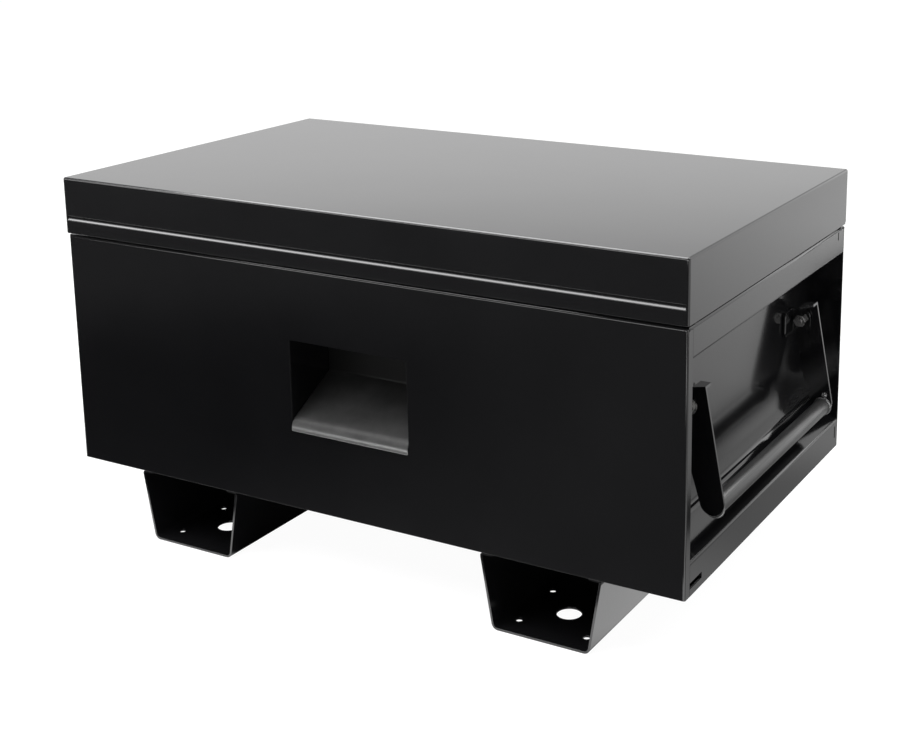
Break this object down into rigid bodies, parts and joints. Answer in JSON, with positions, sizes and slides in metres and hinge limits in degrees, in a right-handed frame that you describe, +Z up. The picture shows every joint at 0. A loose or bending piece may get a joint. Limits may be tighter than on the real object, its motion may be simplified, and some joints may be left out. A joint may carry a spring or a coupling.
{
  "type": "jobsite storage box",
  "caption": "Welded steel jobsite storage chest on skid channels, with a piano-hinged lid, a recessed padlock pocket and a drop handle in a recess at each end.",
  "frame": {"origin": "middle of the footprint of the whole box, on the floor under the skids", "axes": "+X to the right along the longest side, +Y from the front to the hinge, +Z up"},
  "size_m": [0.8372, 0.4776, 0.4405],
  "materials": {
    "black_paint": "gloss powder coat",
    "black_hinge": "gloss powder coat over the hinge",
    "black_fasteners": "black oxide",
    "zinc_steel": "zinc plated"
  },
  "bodies": {
    "box": {"front_panel": "black_paint", "back_panel": "black_paint", "left_end_panel": "black_paint", "right_end_panel": "black_paint", "floor_panel": "black_paint", "pocket_wrap": "black_paint", "right_pocket_cheek": "black_paint", "left_pocket_cheek": "black_paint", "lock_eye_plate": "black_paint", "right_skid": "black_paint", "left_skid": "black_paint", "hinge_body_leaf": "black_hinge", "hinge_pin": "zinc_steel", "stay_body_plate": "black_paint", "stay_body_rivet": "zinc_steel", "right_front_pivot_bracket": "black_paint", "right_rear_pivot_bracket": "black_paint", "right_handle_bolts": "black_fasteners", "right_handle_washers": "black_fasteners", "right_handle_nuts": "black_fasteners", "left_front_pivot_bracket": "black_paint", "left_rear_pivot_bracket": "black_paint", "left_handle_bolts": "black_fasteners", "left_handle_washers": "black_fasteners", "left_handle_nuts": "black_fasteners"},
    "lid": {"lid_pan": "black_paint", "hinge_lid_leaf": "black_hinge", "right_lid_stiffener": "black_paint", "left_lid_stiffener": "black_paint", "hasp_tongue": "black_paint", "stay_lid_bracket": "black_paint", "stay_lid_rivet": "zinc_steel"},
    "stay_lower": {"stay_body_bar": "zinc_steel", "stay_knee_rivet": "zinc_steel"},
    "stay_upper": {"stay_lid_bar": "zinc_steel"},
    "right_handle": {"right_handle_front_arm": "black_paint", "right_handle_rear_arm": "black_paint", "right_handle_grip": "black_paint"},
    "left_handle": {"left_handle_front_arm": "black_paint", "left_handle_rear_arm": "black_paint", "left_handle_grip": "black_paint"}
  },
  "joints": [
    {"name": "lid_hinge", "type": "hinge", "parent": "box", "child": "lid", "pos_m": [0, 0.23575, 0.3715], "axis": [-1, 0, 0], "range_deg": [0, 100]},
    {"name": "stay_lower_pivot", "type": "hinge", "parent": "box", "child": "stay_lower", "pos_m": [-0.3597, 0.13745, 0.30267], "axis": [-1, 0, 0], "range_deg": [0, 100]},
    {"name": "stay_upper_pivot", "type": "hinge", "parent": "lid", "child": "stay_upper", "pos_m": [-0.3564, 0.11984, 0.40256], "axis": [-1, 0, 0], "range_deg": [-100, 0]},
    {"name": "right_handle_pivot", "type": "hinge", "parent": "box", "child": "right_handle", "pos_m": [0.3785, -0.00183, 0.2665], "axis": [0, -1, 0], "range_deg": [-12, 45]},
    {"name": "left_handle_pivot", "type": "hinge", "parent": "box", "child": "left_handle", "pos_m": [-0.3785, -0.00183, 0.2665], "axis": [0, 1, 0], "range_deg": [-12, 45]}
  ],
  "couplings": [
    {"joint": "stay_lower_pivot", "follows": "lid_hinge", "ratio": 1},
    {"joint": "stay_upper_pivot", "follows": "lid_hinge", "ratio": -1}
  ]
}
